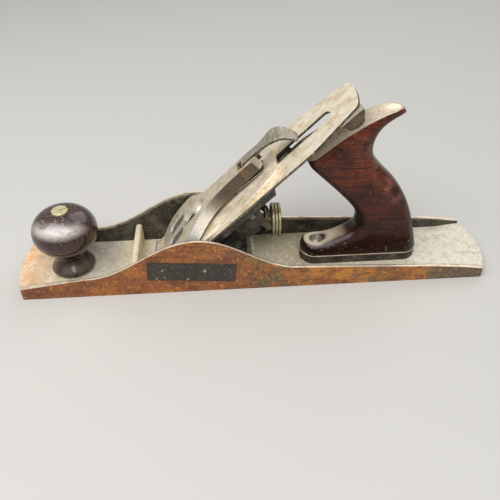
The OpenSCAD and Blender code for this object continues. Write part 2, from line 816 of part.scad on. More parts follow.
// Lever cap: half width and top line along its length
cap_plan_half = [[cap_s0, flare_w / 2 - 0.8], [cap_s0 + 2, flare_w / 2], [30, flare_w / 2],
    [49, flare_w / 2], [56, 0.72 * flare_w / 2 + 0.28 * neck_w / 2 + 1.6],
    [61, 0.53 * flare_w / 2 + 0.47 * neck_w / 2], [66, 0.33 * flare_w / 2 + 0.67 * neck_w / 2],
    [71, 0.18 * flare_w / 2 + 0.82 * neck_w / 2], [76, 0.1 * flare_w / 2 + 0.9 * neck_w / 2],
    [82, 0.04 * flare_w / 2 + 0.96 * neck_w / 2], [90, neck_w / 2]];
cap_top = [[cap_s0, cap_under0 + 0.7], [14, cap_under0 + 1.8], [19, cap_under0 + 3.8],
    [25, cap_h - 6.9], [31, cap_h - 5.3], [38, cap_h - 4], [46, cap_h - 3.2], [54, cap_h - 2.4],
    [61, cap_h - 1.6], [71, cap_h - 1], [86, cap_h - 0.3], [100, cap_h], [cap_s1 + over, cap_h]];
function cap_under(s) = cap_under0 + 1 + cap_under_rise * (s - 22);
function cap_top_h(s) = lookup(s, cap_top);

module cap_plan(inset) {
    end_half = cam_slot_half + 0.3;
    half = concat(smooth_curve(cap_plan_half, 3),
        [[cap_s1 - 3.6, neck_w / 2], [cap_s1, end_half]]);
    line = [for (p = half) [p[0], p[1] - inset]];
    polygon(concat(line, mirrored(line)));
}

module cap_side(drop) {
    polygon(concat([for (p = smooth_curve(cap_top, 3)) [p[0], p[1] - drop]],
        [[cap_s1 + over, cap_under(cap_s1 + over)], [24, cap_under(24)], [16, cap_under0],
        [cap_s0, cap_under0]]));
}

module lever_cap() {
    color("#8b877d") slope() difference() {
        intersection() {
            linear_extrude(cap_h + over) cap_plan(0);
            upright(flare_w) cap_side(0);
        }
        intersection() {
            linear_extrude(cap_h) cap_plan(cap_wall);
            upright(flare_w) polygon(concat(
                [for (p = cap_top) if (p[0] > cap_hollow_s0 && p[0] < cap_hollow_s1)
                    [p[0], p[1] - cap_shell]],
                [[cap_hollow_s1, cap_top_h(cap_hollow_s1) - cap_shell], [cap_hollow_s1, 0],
                [cap_hollow_s0, 0]]));
        }
        translate([0, 0, seat_h()]) linear_extrude(20)
            round_slot(s_screw - keyhole_drop, s_screw + 0.4, cap_screw_head_r + 0.8);
        for (side = [-1, 1]) difference() {
            translate([0, side * recess_y, 0])
                linear_extrude(cap_h + over) round_slot(recess_s0, recess_s1, recess_r);
            upright(flare_w) cap_side(recess_depth);
        }
        linear_extrude(cap_h + over)
            round_slot(s_screw - keyhole_drop, s_screw + 0.4, cap_screw_r + 0.3);
        translate([s_screw - keyhole_drop, 0, 0]) cylinder(r = keyhole_r, h = cap_h + over);
        bar(cam_slot_s, cap_s1 + 2 * over, cam_slot_half, 0, cap_h + over);
        translate([cam_s, 0, cam_h]) rotate([90, 0, 0])
            cylinder(r = cam_pin_r + thread_gap, h = neck_w + 2, center = true);
        translate([spring_rivet_s, 0, 0]) cylinder(r = spring_rivet_r + thread_gap, h = 9);
    }
}

module cap_spring() {
    top = [[spring_s0, cap_under(spring_s0) - slide_gap], [92, cap_under(92) - slide_gap],
        [cam_s - 4, spring_press_h + 0.2], [cam_s, spring_press_h],
        [spring_s1, cap_under0 + spring_t]];
    color("#a8a294") slope() difference() {
        upright(2 * spring_half_w) polygon(concat(top,
            [for (i = [len(top) - 1 : -1 : 0]) [top[i][0], top[i][1] - spring_t]]));
        translate([spring_rivet_s, 0, 0]) cylinder(r = spring_rivet_r + thread_gap, h = 9);
    }
}

module spring_rivet() {
    color("gray") slope() translate([spring_rivet_s, 0, cap_under0])
        cylinder(r = spring_rivet_r, h = 9 - cap_under0 - 0.2);
}

module cam_pin() {
    color("gray") slope() translate([cam_s, 0, cam_h]) rotate([90, 0, 0])
        cylinder(r = cam_pin_r, h = neck_w, center = true);
}

// Cam lever: hub and lobe on the pin, narrow arm and spoon-shaped thumb end
cam_top = [[cam_s, cam_h + cam_hub_r], [120, cam_h + 5.7], [127, cam_h + 5.5], [134, cam_h + 5.6],
    [139, cam_h + 5.2], [142, cam_h + 4], [145, cam_h + 1.7], [147.6, cam_h - 2],
    [149.6, cam_h - 6], [150.6, cam_h - 9]];
cam_low = [[148.6, cam_h - 8.6], [147.6, cam_h - 5.4], [145.6, cam_h - 1.8], [142.6, cam_h + 1],
    [138.6, cam_h + 2.6], [132, cam_h + 3], [124, cam_h + 2.2], [cam_s + 3.5, cam_h - 0.5]];
cam_plan_half = [[cam_s - 8, cam_half_w], [cap_s1, cam_half_w], [127, 4.3], [130, 4.9],
    [133, 5.8], [136, 7], [139, 7.9], [142, 8.3], [145, 8.2], [148, 7.2], [149.8, 5.4],
    [150.8, 2.6], [151, 0.6]];

module cam_lever() {
    line = smooth_curve(cam_plan_half, 3);
    color("#a39e92") slope() difference() {
        union() {
            intersection() {
                upright(iron_w) polygon(concat(smooth_curve(cam_top, 3),
                    smooth_curve(cam_low, 3)));
                linear_extrude(cap_h + 4) polygon(concat(line, mirrored(line)));
            }
            translate([cam_s, 0, cam_h]) rotate([90, 0, 0])
                cylinder(r = cam_hub_r, h = 2 * cam_half_w, center = true);
            translate([cam_s, 0, cam_h - cam_lobe_drop]) rotate([90, 0, 0])
                cylinder(r = cam_lobe_r, h = 2 * cam_half_w, center = true);
        }
        translate([cam_s, 0, cam_h]) rotate([90, 0, 0])
            cylinder(r = cam_pin_r + run_gap, h = neck_w, center = true);
    }
}

bed_casting();
label_tape();
front_knob();
knob_rod();
knob_nut();
tote();
tote_rod();
tote_nut();
tote_toe_screw();
frog_screws();
frog_washers();
frog();
yoke_pin();
depth_stud();
lateral_rivet();
lever_cap_screw();
depth_sleeve();
depth_nut();
yoke();
lateral_lever();
lateral_roller();
iron();
cap_iron();
cap_iron_screw();
lever_cap();
cap_spring();
spring_rivet();
cam_pin();
cam_lever();
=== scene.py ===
# Old metal jack plane: worn casting, rosewood handles, plane iron with its lever cap
import bpy
import bmesh
import json
from math import cos, pi, radians, sin, sqrt
from mathutils import Matrix, Vector


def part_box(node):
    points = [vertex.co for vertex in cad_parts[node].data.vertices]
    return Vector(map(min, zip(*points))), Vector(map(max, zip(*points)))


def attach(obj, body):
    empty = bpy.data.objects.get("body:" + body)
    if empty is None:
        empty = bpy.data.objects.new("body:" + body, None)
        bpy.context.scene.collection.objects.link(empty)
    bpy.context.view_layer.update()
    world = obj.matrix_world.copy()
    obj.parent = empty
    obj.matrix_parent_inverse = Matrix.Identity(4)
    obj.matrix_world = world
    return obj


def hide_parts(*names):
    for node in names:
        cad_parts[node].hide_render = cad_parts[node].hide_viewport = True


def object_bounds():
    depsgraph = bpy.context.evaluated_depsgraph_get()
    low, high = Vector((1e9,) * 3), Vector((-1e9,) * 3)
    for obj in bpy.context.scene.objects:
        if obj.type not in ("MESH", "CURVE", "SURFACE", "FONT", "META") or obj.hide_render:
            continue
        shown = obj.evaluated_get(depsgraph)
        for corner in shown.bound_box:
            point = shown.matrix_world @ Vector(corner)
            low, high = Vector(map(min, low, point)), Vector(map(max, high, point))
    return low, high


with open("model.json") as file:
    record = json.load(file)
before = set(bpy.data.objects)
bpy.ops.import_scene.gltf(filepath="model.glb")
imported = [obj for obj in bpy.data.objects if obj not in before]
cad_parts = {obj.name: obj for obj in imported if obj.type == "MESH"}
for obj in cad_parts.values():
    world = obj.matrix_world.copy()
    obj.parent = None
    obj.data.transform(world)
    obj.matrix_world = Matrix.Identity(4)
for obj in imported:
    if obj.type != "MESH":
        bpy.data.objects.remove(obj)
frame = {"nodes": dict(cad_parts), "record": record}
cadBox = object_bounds()
nodeOf = frame["nodes"]
bodyOf = {node: body for body, nodes in frame["record"]["behaviour"]["bodies"].items() for node in nodes}
mm = 0.001
print("frame loaded:", len(nodeOf), "nodes")

# Places read from the frame
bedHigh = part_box("bed_casting")[1]
toteLow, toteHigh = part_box("tote")
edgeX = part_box("iron")[0].x
slopeUp = Vector((1, 0, 1)).normalized()
slopeOut = Vector((-1, 0, 1)).normalized()
slopeOrigin = Vector((edgeX, 0, 0))

# Directions that finishes follow, and the turn that lays a pattern along the iron's slope
toHeel, toToe, toNearSide, toFarSide, upward = (1, 0, 0), (-1, 0, 0), (0, -1, 0), (0, 1, 0), (0, 0, 1)
ironTurn = (0, 0.785, 0)


def slopePlace(place):
    # how far up the iron and out of its face a place lies, in mm
    away = place - slopeOrigin
    return away.dot(slopeUp) / mm, away.dot(slopeOut) / mm


# Camera at the photograph's angle, turned by degrees
cameraView = {"place": (-0.02639, -0.32507, 0.28814), "yaw": 3.97, "down": 40.41, "roll": 0.15,
              "focalPixels": 550.96, "imagePixels": 500, "sensorMm": 36, "nearestMm": 10}


def makeCamera(view):
    data = bpy.data.cameras.new("camera")
    data.sensor_width = view["sensorMm"]
    data.lens = view["focalPixels"] / view["imagePixels"] * view["sensorMm"]
    data.clip_start = view["nearestMm"] * mm
    camera = bpy.data.objects.new("camera", data)
    yaw = Matrix.Rotation(radians(-view["yaw"]), 4, "Z")
    tilt = Matrix.Rotation(radians(90 - view["down"]), 4, "X")
    roll = Matrix.Rotation(radians(-view["roll"]), 4, "Z")
    camera.matrix_world = Matrix.Translation(view["place"]) @ yaw @ tilt @ roll
    bpy.context.collection.objects.link(camera)
    bpy.context.scene.camera = camera


makeCamera(cameraView)


def linear(hexColour):
    # an sRGB hex colour as the linear values that a shader takes
    parts = [int(hexColour[i:i + 2], 16) / 255 for i in (1, 3, 5)]
    return tuple(p / 12.92 if p <= 0.04045 else ((p + 0.055) / 1.055) ** 2.4 for p in parts) + (1,)


def addNode(material, kind, inputs=None, **settings):
    node = material.node_tree.nodes.new(kind)
    for name, value in settings.items():
        setattr(node, name, value)
    for key, value in (inputs or {}).items():
        if isinstance(value, bpy.types.NodeSocket):
            material.node_tree.links.new(value, node.inputs[key])
        else:
            node.inputs[key].default_value = value
    return node


# Every patch's noise, unless the patch has its own detail
patchNoise = {"detail": 4, "roughness": 0.6}


def patchMask(material, place, patch):
    # where a patch lies: noise of a real size in mm, drawn out along an axis where "stretch" says so
    stretch = patch.get("stretch", (1, 1, 1))
    laid = addNode(material, "ShaderNodeMapping",
                   {0: place, "Rotation": patch.get("turn", (0, 0, 0)), "Scale": [1 / s for s in stretch]})
    spots = addNode(material, "ShaderNodeTexNoise",
                    {"Vector": laid.outputs[0], "Scale": 1 / (patch["sizeMm"] * mm),
                     "Detail": patch.get("detail", patchNoise["detail"]), "Roughness": patchNoise["roughness"]})
    low, high = patch["range"]
    return addNode(material, "ShaderNodeMapRange",
                   {0: spots.outputs[0], 1: low, 2: high, 4: patch.get("amount", 1)}).outputs[0]


def rampMask(material, place, ramp):
    # rises between two places along a direction, or marks a band about one place, wavy where "waveMm" says so
    reach = addNode(material, "ShaderNodeVectorMath", {0: place, 1: Vector(ramp["along"]) / mm},
                    operation="DOT_PRODUCT").outputs["Value"]
    if "waveMm" in ramp:
        wave = addNode(material, "ShaderNodeTexNoise",
                       {"Vector": place, "Scale": 1 / (ramp["waveSizeMm"] * mm)})
        reach = addNode(material, "ShaderNodeMath", {0: wave.outputs[0], 1: ramp["waveMm"], 2: reach},
                        operation="MULTIPLY_ADD").outputs[0]
    if "bandMm" in ramp:
        middle, half = ramp["bandMm"]
        shifted = addNode(material, "ShaderNodeMath", {0: reach, 1: middle}, operation="SUBTRACT").outputs[0]
        reach = addNode(material, "ShaderNodeMath", {0: shifted}, operation="ABSOLUTE").outputs[0]
        start, end = half, 0
    else:
        start, end = ramp["betweenMm"]
    return addNode(material, "ShaderNodeMapRange", {0: reach, 1: start, 2: end},
                   interpolation_type="SMOOTHSTEP").outputs[0]


def zoneMask(material, place, normal, zone):
    # where a zone lies: along its ramps, on faces that look one way, broken up by its patches
    masks = [rampMask(material, place, ramp) for ramp in zone.get("ramps", ())]
    if "facing" in zone:
        look = addNode(material, "ShaderNodeVectorMath", {0: normal, 1: zone["facing"]},
                       operation="DOT_PRODUCT").outputs["Value"]
        low, high = zone["turned"]
        masks.append(addNode(material, "ShaderNodeMapRange", {0: look, 1: low, 2: high}).outputs[0])
    if "sizeMm" in zone:
        masks.append(patchMask(material, place, zone))
    else:
        masks[0] = addNode(material, "ShaderNodeMath", {0: masks[0], 1: zone.get("amount", 1)},
                           operation="MULTIPLY").outputs[0]
    joined = masks[0]
    for mask in masks[1:]:
        joined = addNode(material, "ShaderNodeMath", {0: joined, 1: mask}, operation="MULTIPLY").outputs[0]
    return joined


# Shader sockets that a finish's gloss may set, each with its value where the finish leaves it out
glossSockets = {"metallic": ("Metallic", 0.0), "specular": ("Specular IOR Level", 0.5),
                "coat": ("Coat Weight", 0.0), "coatRough": ("Coat Roughness", 0.1)}


def makeFinish(name, spec):
    # a surface from its base colour, zones and patches laid over it, gloss and fine relief
    material = bpy.data.materials.new(name)
    material.use_nodes = True
    shader = material.node_tree.nodes["Principled BSDF"]
    links = material.node_tree.links
    place = addNode(material, "ShaderNodeTexCoord").outputs["Object"]
    normal = addNode(material, "ShaderNodeNewGeometry").outputs["Normal"]
    colour = linear(spec["base"])
    gloss = spec["gloss"]
    roughValue = gloss["rough"]
    for layer in spec["layers"]:
        mask = zoneMask(material, place, normal, layer)
        # 6, 7 and output 2 are the Mix node's colours, 2 and 3 its numbers
        colour = addNode(material, "ShaderNodeMix", {0: mask, 6: colour, 7: linear(layer["hex"])},
                         data_type="RGBA").outputs[2]
        if "roughHere" in layer:
            roughValue = addNode(material, "ShaderNodeMix",
                                 {0: mask, 2: roughValue, 3: layer["roughHere"]}).outputs[0]
    links.new(colour, shader.inputs["Base Color"])
    if "roughPatch" in gloss:
        mask = patchMask(material, place, gloss["roughPatch"])
        roughValue = addNode(material, "ShaderNodeMix",
                             {0: mask, 2: roughValue, 3: gloss["roughPatch"]["roughHere"]}).outputs[0]
    if isinstance(roughValue, float):
        shader.inputs["Roughness"].default_value = roughValue
    else:
        links.new(roughValue, shader.inputs["Roughness"])
    for key, (socket, plain) in glossSockets.items():
        shader.inputs[socket].default_value = gloss.get(key, plain)
    bumps = None
    for relief in spec.get("relief", ()):
        height = patchMask(material, place, relief)
        bump = {"Height": height, "Distance": relief["deepMm"] * mm, "Strength": 1.0}
        if bumps is not None:
            bump["Normal"] = bumps
        bumps = addNode(material, "ShaderNodeBump", bump).outputs[0]
    if bumps is not None:
        links.new(bumps, shader.inputs["Normal"])
    return material


# Grey cast iron, ground on its sides and since browned by rust: red brown at the toe, olive and ochre patches
# behind the label, grey at the heel. Places along the plane are in mm from its middle.
rustedGroundIron = {
    "base": "#8c5230",
    "layers": [
        {"hex": "#b2722f", "sizeMm": 16, "range": (0.46, 0.62), "stretch": (1.8, 1, 1), "amount": 0.75},
        {"hex": "#653a24", "sizeMm": 9, "range": (0.49, 0.61), "stretch": (2, 1, 1), "amount": 0.75},
        {"hex": "#6a3d26", "ramps": [{"along": toToe, "betweenMm": (128, 165)}], "sizeMm": 9,
         "range": (0.3, 0.5), "amount": 0.8},
        {"hex": "#5f4f3f", "ramps": [{"along": toHeel, "bandMm": (-22, 26)},
         {"along": upward, "betweenMm": (26, 40)}], "sizeMm": 6, "range": (0.4, 0.55), "amount": 0.85},
        {"hex": "#5c583d", "ramps": [{"along": toHeel, "bandMm": (14, 42)}], "sizeMm": 8,
         "range": (0.43, 0.55), "amount": 0.9},
        {"hex": "#c08034", "ramps": [{"along": toHeel, "betweenMm": (10, 50)}], "sizeMm": 7,
         "range": (0.48, 0.6), "stretch": (2, 1, 1), "amount": 0.8},
        {"hex": "#6b5b42", "ramps": [{"along": toHeel, "betweenMm": (40, 90)}], "sizeMm": 8,
         "range": (0.48, 0.6), "stretch": (2, 1, 1), "amount": 0.8},
        {"hex": "#5c5449", "ramps": [{"along": toHeel, "betweenMm": (112, 146)}], "sizeMm": 10,
         "range": (0.2, 0.42), "amount": 0.95},
        {"hex": "#c5853f", "sizeMm": 3.2, "range": (0.56, 0.65), "amount": 0.65},
        {"hex": "#46291b", "sizeMm": 2.6, "range": (0.57, 0.66), "amount": 0.65},
        {"hex": "#2c1c13", "sizeMm": 1.2, "range": (0.62, 0.69), "amount": 0.75},
        {"hex": "#e2bb83", "sizeMm": 1.0, "range": (0.63, 0.7), "amount": 0.8}],
    "gloss": {"rough": 0.62, "metallic": 0.1,
              "roughPatch": {"sizeMm": 5, "range": (0.4, 0.65), "roughHere": 0.8}},
    "relief": [{"sizeMm": 2.4, "range": (0.35, 0.7), "deepMm": 0.1},
               {"sizeMm": 0.8, "range": (0.3, 0.75), "deepMm": 0.07}]}

# The same iron where hands and benches rub it: the walls' top edges, pale pinkish steel
rubbedRim = {
    "base": "#dcc9b4",
    "layers": [
        {"hex": "#a98662", "sizeMm": 6, "range": (0.5, 0.66), "stretch": (2, 1, 1), "amount": 0.75},
        {"hex": "#f2e6d4", "sizeMm": 2.2, "range": (0.52, 0.66), "amount": 0.7},
        {"hex": "#5d4330", "sizeMm": 1.1, "range": (0.61, 0.7), "amount": 0.8}],
    "gloss": {"rough": 0.42, "metallic": 0.4},
    "relief": [{"sizeMm": 0.7, "range": (0.3, 0.7), "deepMm": 0.03}]}

# The ground sole: grey iron with a little rust and lengthwise scratches, drawn coarser than real so that they
# show
groundSole = {
    "base": "#8f8c84",
    "layers": [
        {"hex": "#6f6a60", "sizeMm": 0.6, "range": (0.45, 0.62), "stretch": (60, 1, 1), "amount": 0.7},
        {"hex": "#c6c2b8", "sizeMm": 0.5, "range": (0.55, 0.66), "stretch": (80, 1, 1), "amount": 0.6},
        {"hex": "#8c5c34", "sizeMm": 14, "range": (0.58, 0.72), "amount": 0.6},
        {"hex": "#3f3a33", "sizeMm": 1.6, "range": (0.66, 0.74), "amount": 0.7}],
    "gloss": {"rough": 0.38, "metallic": 0.75},
    "relief": [{"sizeMm": 0.5, "range": (0.3, 0.7), "stretch": (60, 1, 1), "deepMm": 0.015}]}

# Black japanned floor under years of dust: tan at the toe, yellowish about the rib, browner at the back
dustyFloor = {
    "base": "#b9b09c",
    "layers": [
        {"hex": "#c9b993", "ramps": [{"along": toHeel, "bandMm": (-92, 22)}], "sizeMm": 9,
         "range": (0.3, 0.46), "amount": 0.85},
        {"hex": "#a09d8e", "ramps": [{"along": toHeel, "bandMm": (-116, 20)}], "sizeMm": 7,
         "range": (0.38, 0.56), "amount": 0.85},
        {"hex": "#a3967b", "ramps": [{"along": toHeel, "bandMm": (28, 60)}], "amount": 0.95},
        {"hex": "#cbc5b4", "ramps": [{"along": toHeel, "betweenMm": (100, 134)}], "amount": 0.95},
        {"hex": "#d3bf9f", "ramps": [{"along": toToe, "betweenMm": (136, 158)}], "amount": 0.95},
        {"hex": "#d79a66", "ramps": [{"along": toToe, "betweenMm": (152, 172)}], "amount": 0.75,
         "sizeMm": 12, "range": (0.34, 0.56)},
        {"hex": "#9c927c", "sizeMm": 6, "range": (0.5, 0.66), "amount": 0.6},
        {"hex": "#d9d0b8", "sizeMm": 3, "range": (0.54, 0.66), "amount": 0.55},
        {"hex": "#7d745f", "sizeMm": 1.3, "range": (0.55, 0.66), "amount": 0.7},
        {"hex": "#ece6d4", "sizeMm": 0.9, "range": (0.58, 0.68), "amount": 0.75},
        {"hex": "#4b463b", "sizeMm": 0.8, "range": (0.63, 0.7), "amount": 0.75}],
    "gloss": {"rough": 0.85, "metallic": 0.0},
    "relief": [{"sizeMm": 3.5, "range": (0.3, 0.7), "deepMm": 0.1},
               {"sizeMm": 0.8, "range": (0.35, 0.75), "deepMm": 0.06}]}

# Black japanning, a baked asphalt varnish over rough casting: near black, half gloss, flecked with dust
blackJapanning = {
    "base": "#25211a",
    "layers": [
        {"hex": "#554f3f", "sizeMm": 8, "range": (0.48, 0.64), "amount": 0.8},
        {"hex": "#7b715b", "facing": upward, "turned": (0.3, 0.8), "sizeMm": 5, "range": (0.3, 0.55),
         "amount": 0.8, "roughHere": 0.85},
        {"hex": "#6f6854", "sizeMm": 1.2, "range": (0.56, 0.67), "amount": 0.8},
        {"hex": "#b9b098", "sizeMm": 0.9, "range": (0.64, 0.71), "amount": 0.85}],
    "gloss": {"rough": 0.5, "metallic": 0.0,
              "roughPatch": {"sizeMm": 4, "range": (0.45, 0.6), "roughHere": 0.75}},
    "relief": [{"sizeMm": 2.2, "range": (0.3, 0.7), "deepMm": 0.08},
               {"sizeMm": 0.6, "range": (0.35, 0.75), "deepMm": 0.03}]}

# Vinyl label strip, blank and scuffed: brown black with pale rubbed places
labelVinyl = {
    "base": "#332d27",
    "layers": [
        {"hex": "#463d33", "sizeMm": 6, "range": (0.45, 0.62), "amount": 0.8},
        {"hex": "#211d17", "sizeMm": 2.5, "range": (0.54, 0.66), "amount": 0.85},
        {"hex": "#8a6a48", "sizeMm": 3.5, "range": (0.62, 0.7), "amount": 0.7},
        {"hex": "#b4afa2", "sizeMm": 4.5, "range": (0.635, 0.655), "detail": 6, "amount": 0.85},
        {"hex": "#a79a80", "sizeMm": 1.2, "range": (0.67, 0.72), "amount": 0.85}],
    "gloss": {"rough": 0.5, "roughPatch": {"sizeMm": 3, "range": (0.45, 0.6), "roughHere": 0.7}},
    "relief": [{"sizeMm": 1.5, "range": (0.35, 0.7), "deepMm": 0.05}]}

# Rosewood, turned and varnished: near black with wine red showing through, glossy from hands, with a painted
# highlight band round its near side, a dull crown and a dusty foot. Its pores are drawn coarser than real.
knobRosewood = {
    "base": "#1e0905",
    "layers": [
        {"hex": "#4c1c0c", "sizeMm": 2.0, "range": (0.45, 0.65), "stretch": (1, 1, 14), "amount": 0.8},
        {"hex": "#120807", "sizeMm": 1.2, "range": (0.5, 0.64), "stretch": (1, 1, 18), "amount": 0.8},
        {"hex": "#5c5043", "ramps": [{"along": upward, "betweenMm": (16, 10)}], "amount": 0.6, "sizeMm": 5,
         "range": (0.3, 0.52), "roughHere": 0.6},
        # painted highlight: a pale glossy band round the near side, standing in for the lamp's sheen
        {"hex": "#c5bdb6", "facing": (-0.1, -1, 0), "turned": (0.2, 0.6),
         "ramps": [{"along": upward, "bandMm": (49.5, 6.5)}], "sizeMm": 6, "range": (0.2, 0.45),
         "stretch": (3, 3, 1), "amount": 0.85, "roughHere": 0.3},
        {"hex": "#4c403b", "ramps": [{"along": upward, "betweenMm": (51, 56)}], "sizeMm": 3,
         "range": (0.4, 0.6), "amount": 0.6, "roughHere": 0.5},
        {"hex": "#d9cab4", "ramps": [{"along": upward, "betweenMm": (38, 54)}], "sizeMm": 1.1,
         "range": (0.62, 0.69), "amount": 0.85, "roughHere": 0.7},
        {"hex": "#b7a28c", "sizeMm": 0.9, "range": (0.67, 0.72), "amount": 0.8, "roughHere": 0.7}],
    "gloss": {"rough": 0.26, "specular": 0.32, "coat": 0.8, "coatRough": 0.1,
              "roughPatch": {"sizeMm": 6, "range": (0.42, 0.62), "roughHere": 0.38}},
    "relief": [{"sizeMm": 0.9, "range": (0.35, 0.7), "stretch": (1, 1, 12), "deepMm": 0.05},
               {"sizeMm": 2.6, "range": (0.3, 0.7), "deepMm": 0.06}]}

# The same rosewood sawn along the handle: red brown with dark streaks, a crack across the grip, and the foot
# and horn worn bare and dusty on top; painted shade on faces looking forward and down and on faces looking to
# the heel, and a painted sheen on the upper back of the grip
toteRosewood = {
    "base": "#38140b",
    "layers": [
        {"hex": "#6b2c12", "ramps": [{"along": upward, "betweenMm": (38, 88)}], "sizeMm": 26,
         "range": (0.3, 0.55), "amount": 0.75},
        {"hex": "#7a3516", "sizeMm": 1.3, "range": (0.5, 0.66), "stretch": (24, 3, 1), "turn": (0, -0.1, 0),
         "amount": 0.55},
        {"hex": "#120605", "sizeMm": 1.0, "range": (0.5, 0.64), "stretch": (30, 3, 1), "turn": (0, -0.08, 0),
         "amount": 0.7},
        {"hex": "#150807", "sizeMm": 18, "range": (0.44, 0.62), "amount": 0.75},
        {"hex": "#1d110d", "ramps": [{"along": upward, "betweenMm": (50, 14)}], "amount": 0.75},
        # painted shade: near black on faces looking forward and down, and on faces looking to the heel
        {"hex": "#0e0706", "facing": (-0.78, 0, -0.62), "turned": (0.25, 0.75), "amount": 0.85},
        {"hex": "#0e0706", "facing": (1, 0, 0.1), "turned": (0.6, 0.95), "amount": 0.6},
        # painted sheen: pale pinkish glossy patches on the upper back of the grip
        {"hex": "#8d6253", "ramps": [{"along": (0.82, 0, 0.57), "bandMm": (118, 11)},
         {"along": upward, "betweenMm": (44, 62)}], "sizeMm": 7, "range": (0.42, 0.62), "amount": 0.4,
         "roughHere": 0.42},
        {"hex": "#120807", "ramps": [{"along": (-0.03, 0, 1), "bandMm": (85.5, 0.75), "waveMm": -1.2,
         "waveSizeMm": 14}, {"along": toHeel, "betweenMm": (53, 58)},
         {"along": toToe, "betweenMm": (-84, -76)}], "amount": 0.9},
        {"hex": "#b59a72", "ramps": [{"along": upward, "betweenMm": (30, 20)}], "sizeMm": 2.4,
         "range": (0.63, 0.68), "amount": 0.85, "roughHere": 0.7},
        {"hex": "#c2b39c", "facing": upward, "turned": (0.8, 0.97),
         "ramps": [{"along": upward, "betweenMm": (30, 24)}], "amount": 0.9, "roughHere": 0.8},
        {"hex": "#b7aa97", "facing": (-0.5, 0, 0.85), "turned": (0.72, 0.86),
         "ramps": [{"along": upward, "betweenMm": (84, 93)}], "roughHere": 0.8},
        {"hex": "#8f8475", "facing": (-0.4, 0, 0.9), "turned": (0.8, 0.95),
         "ramps": [{"along": upward, "betweenMm": (84, 95)}], "sizeMm": 2.4, "range": (0.5, 0.64),
         "amount": 0.8, "roughHere": 0.8},
        {"hex": "#ecdfbe", "facing": (-0.3, 0, 0.95), "turned": (0.7, 0.85),
         "ramps": [{"along": toHeel, "bandMm": (92, 11)}, {"along": toFarSide, "bandMm": (1, 6)}],
         "roughHere": 0.7},
        {"hex": "#c9a67a", "sizeMm": 1.3, "range": (0.67, 0.72), "amount": 0.8, "roughHere": 0.7}],
    "gloss": {"rough": 0.32, "specular": 0.18, "coat": 0.28, "coatRough": 0.14,
              "roughPatch": {"sizeMm": 8, "range": (0.42, 0.62), "roughHere": 0.42}},
    "relief": [{"sizeMm": 1.2, "range": (0.35, 0.7), "stretch": (20, 2, 1), "deepMm": 0.06},
               {"sizeMm": 4, "range": (0.3, 0.7), "deepMm": 0.08}]}

# Tool steel of iron and cap iron, bright long ago: pale cream that is partly a painted reflection of bright
# sky, tan stains drawn out along the slope
bladeSteel = {
    "base": "#ebdfc8",
    "layers": [
        {"hex": "#c7b08a", "sizeMm": 7, "range": (0.45, 0.64), "stretch": (4, 1, 1), "turn": ironTurn,
         "amount": 0.75},
        {"hex": "#f1e7d2", "sizeMm": 4, "range": (0.52, 0.66), "stretch": (3, 1, 1), "turn": ironTurn,
         "amount": 0.7},
        {"hex": "#a68a62", "sizeMm": 1.6, "range": (0.6, 0.7), "stretch": (3, 1, 1), "turn": ironTurn,
         "amount": 0.7},
        {"hex": "#7b6444", "sizeMm": 0.8, "range": (0.66, 0.73), "amount": 0.7}],
    "gloss": {"rough": 0.42, "metallic": 0.5,
              "roughPatch": {"sizeMm": 5, "range": (0.42, 0.62), "roughHere": 0.58}},
    "relief": [{"sizeMm": 0.6, "range": (0.35, 0.7), "stretch": (8, 1, 1), "turn": ironTurn, "deepMm": 0.02}]}

# Edges of the iron, darkened where no hand rubs
darkEdgeSteel = {
    "base": "#6f655a",
    "layers": [
        {"hex": "#3d3630", "sizeMm": 5, "range": (0.45, 0.62), "amount": 0.8},
        {"hex": "#b3a68e", "sizeMm": 2, "range": (0.56, 0.68), "amount": 0.7},
        {"hex": "#7a5534", "sizeMm": 2.4, "range": (0.62, 0.72), "amount": 0.7}],
    "gloss": {"rough": 0.5, "metallic": 0.55},
    "relief": [{"sizeMm": 0.6, "range": (0.35, 0.7), "deepMm": 0.02}]}

# Lever cap casting, ground bright at its fan, with a painted highlight low on its near side, painted shade on
# both sides up its neck, and a rusty patch
capCasting = {
    "base": "#c9bda6",
    "layers": [
        {"hex": "#a2947a", "sizeMm": 5, "range": (0.45, 0.62), "amount": 0.7},
        {"hex": "#ded5c2", "sizeMm": 2.5, "range": (0.54, 0.66), "amount": 0.7},
        # painted highlight: the near side made lighter where it flares towards the fan
        {"hex": "#eeece4", "facing": toNearSide, "turned": (0.5, 0.68),
         "ramps": [{"along": slopeUp, "betweenMm": (26, 8)}], "amount": 0.85, "roughHere": 0.45},
        # painted shade: both sides of the neck darkened
        {"hex": "#453b32", "facing": toNearSide, "turned": (0.7, 0.9),
         "ramps": [{"along": slopeUp, "betweenMm": (8, 34)}], "amount": 0.92, "roughHere": 0.55},
        {"hex": "#453b32", "facing": toFarSide, "turned": (0.7, 0.9),
         "ramps": [{"along": slopeUp, "betweenMm": (8, 34)}], "amount": 0.92, "roughHere": 0.55},
        {"hex": "#8a6442", "ramps": [{"along": slopeUp, "bandMm": (54.8, 5)}], "sizeMm": 2.6,
         "range": (0.4, 0.58), "amount": 0.75, "roughHere": 0.6},
        {"hex": "#7d6d57", "sizeMm": 1.3, "range": (0.6, 0.7), "amount": 0.7},
        {"hex": "#ece5d6", "sizeMm": 0.8, "range": (0.66, 0.73), "amount": 0.7}],
    "gloss": {"rough": 0.4, "metallic": 0.5,
              "roughPatch": {"sizeMm": 3, "range": (0.42, 0.62), "roughHere": 0.56}},
    "relief": [{"sizeMm": 1.4, "range": (0.3, 0.7), "deepMm": 0.05},
               {"sizeMm": 0.5, "range": (0.35, 0.75), "deepMm": 0.02}]}

